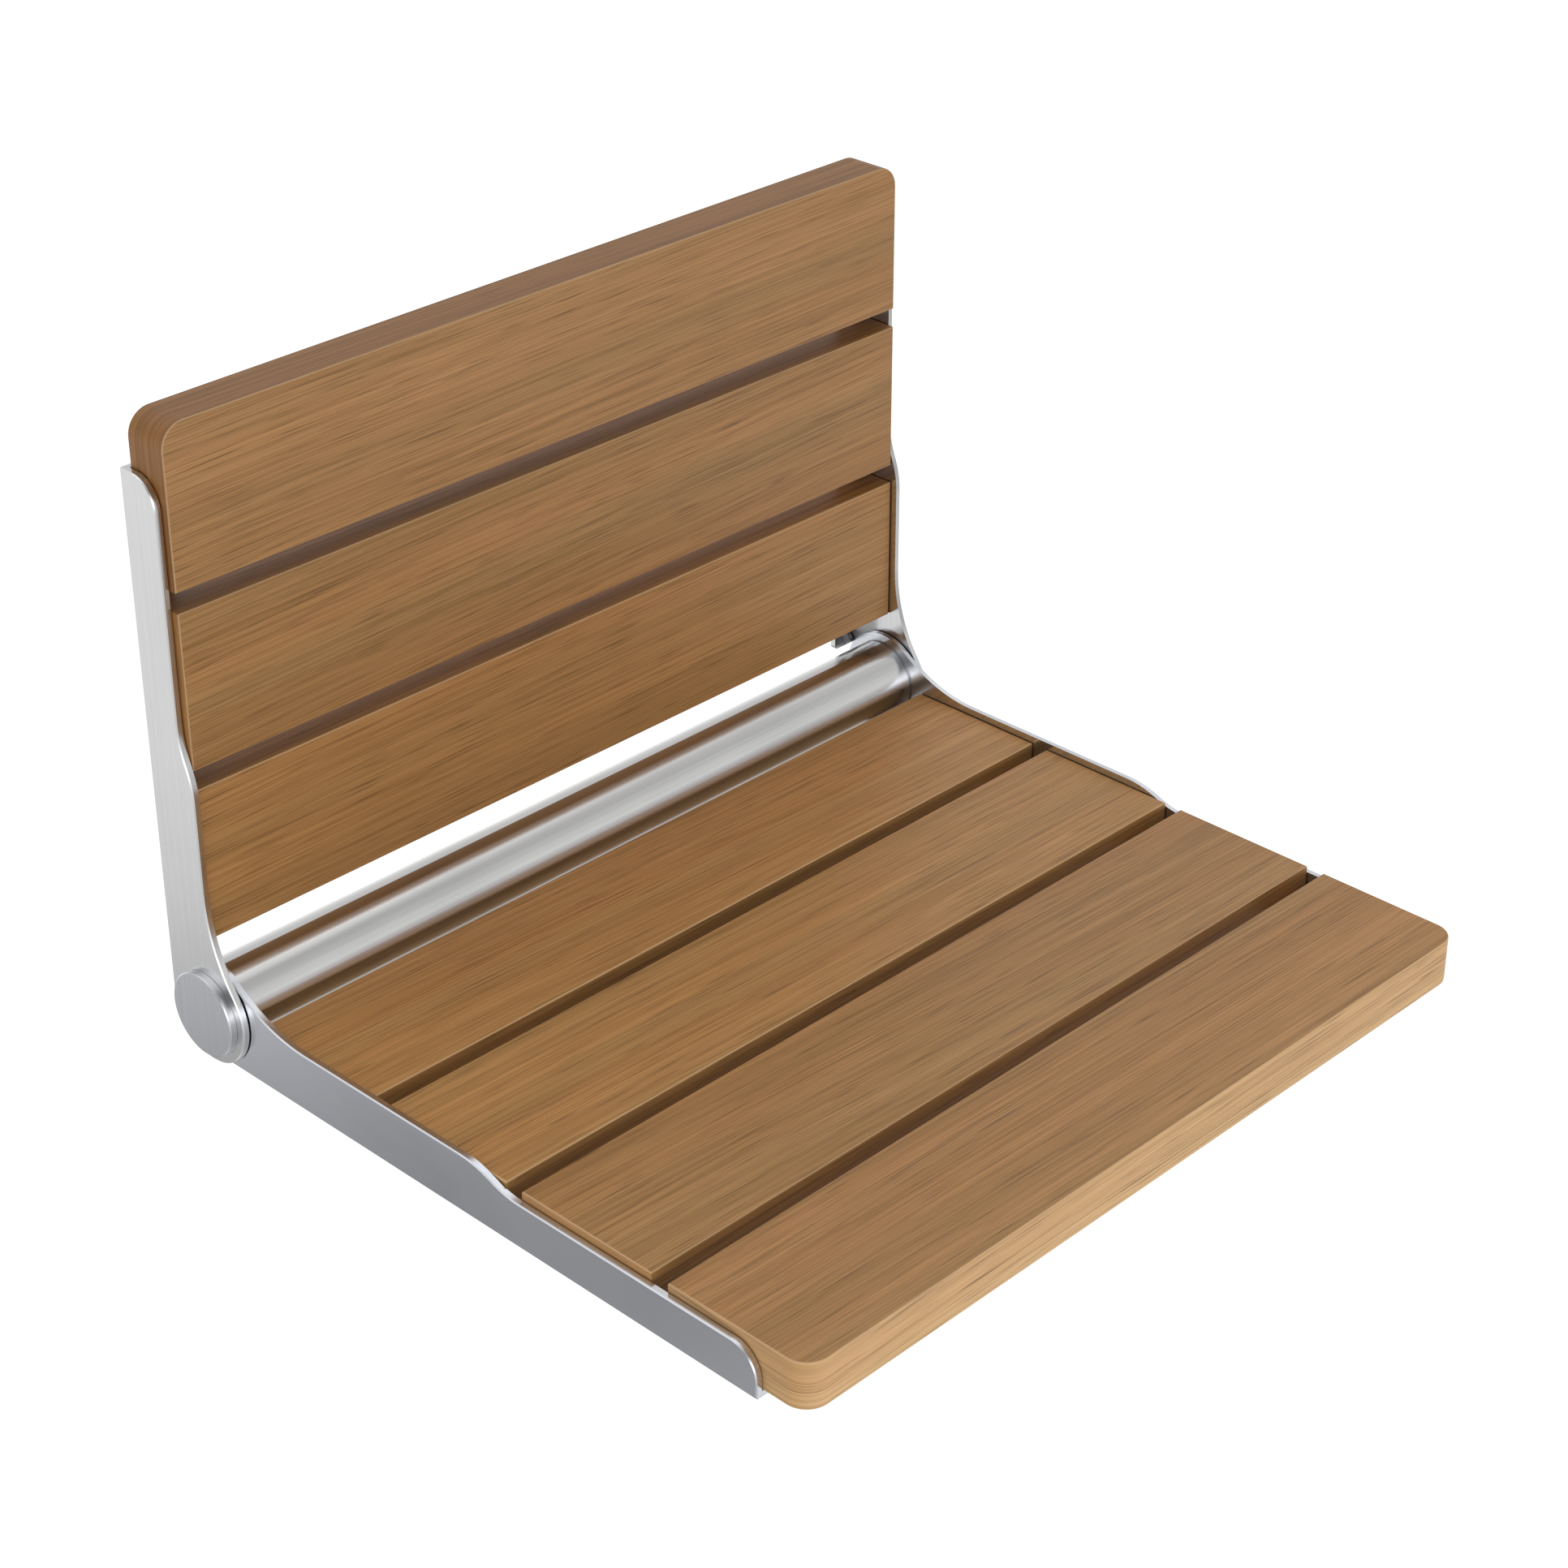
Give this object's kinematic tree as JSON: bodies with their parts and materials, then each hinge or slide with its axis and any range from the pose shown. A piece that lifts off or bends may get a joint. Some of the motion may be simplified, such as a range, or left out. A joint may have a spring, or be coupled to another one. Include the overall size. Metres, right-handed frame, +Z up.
{
  "type": "fold down wall seat",
  "caption": "Fold down wall seat: a slatted wooden seat hinged on a round cross tube to a slatted backrest, both carried by curved L-section metal arms.",
  "frame": {"origin": "on the wall plane, at the middle of the four outer wall fixing holes in the backrest arms", "axes": "+X along the hinge axis to the right of someone who faces the wall, +Y into the wall, +Z up; the seat reaches out toward -Y"},
  "size_m": [0.4782, 0.4067, 0.3225],
  "materials": {
    "seat_wood": "oiled hardwood, straight grain along the slats",
    "back_wood": "oiled hardwood, straight grain along the slats",
    "arm_metal": "satin stainless steel plate",
    "tube_metal": "stainless steel tube brushed along its length",
    "cap_metal": "satin stainless steel with a bright rim",
    "pin_metal": "turned stainless steel",
    "screw_metal": "plain stainless steel",
    "bushing_plastic": "off-white bearing plastic"
  },
  "bodies": {
    "backrest": {"back_arm_left": "arm_metal", "back_arm_right": "arm_metal", "back_slat_top": "back_wood", "back_slat_middle": "back_wood", "back_slat_bottom": "back_wood", "back_slat_screws": "screw_metal", "pivot_pin_left": "pin_metal", "pivot_pin_right": "pin_metal", "hub_cap_left": "cap_metal", "hub_cap_right": "cap_metal"},
    "seat": {"seat_arm_left": "arm_metal", "seat_arm_right": "arm_metal", "seat_slat_1": "seat_wood", "seat_slat_2": "seat_wood", "seat_slat_3": "seat_wood", "seat_slat_4": "seat_wood", "seat_slat_screws": "screw_metal", "cross_tube": "tube_metal", "tube_plug_left": "pin_metal", "tube_plug_right": "pin_metal", "hinge_bushing_left": "bushing_plastic", "hinge_bushing_right": "bushing_plastic", "stop_pin_left": "pin_metal", "stop_pin_right": "pin_metal"}
  },
  "joints": [
    {"name": "seat_fold", "type": "hinge", "parent": "backrest", "child": "seat", "pos_m": [0, -0.0263, -0.1221], "axis": [-1, 0, 0], "range_deg": [0, 73]}
  ]
}
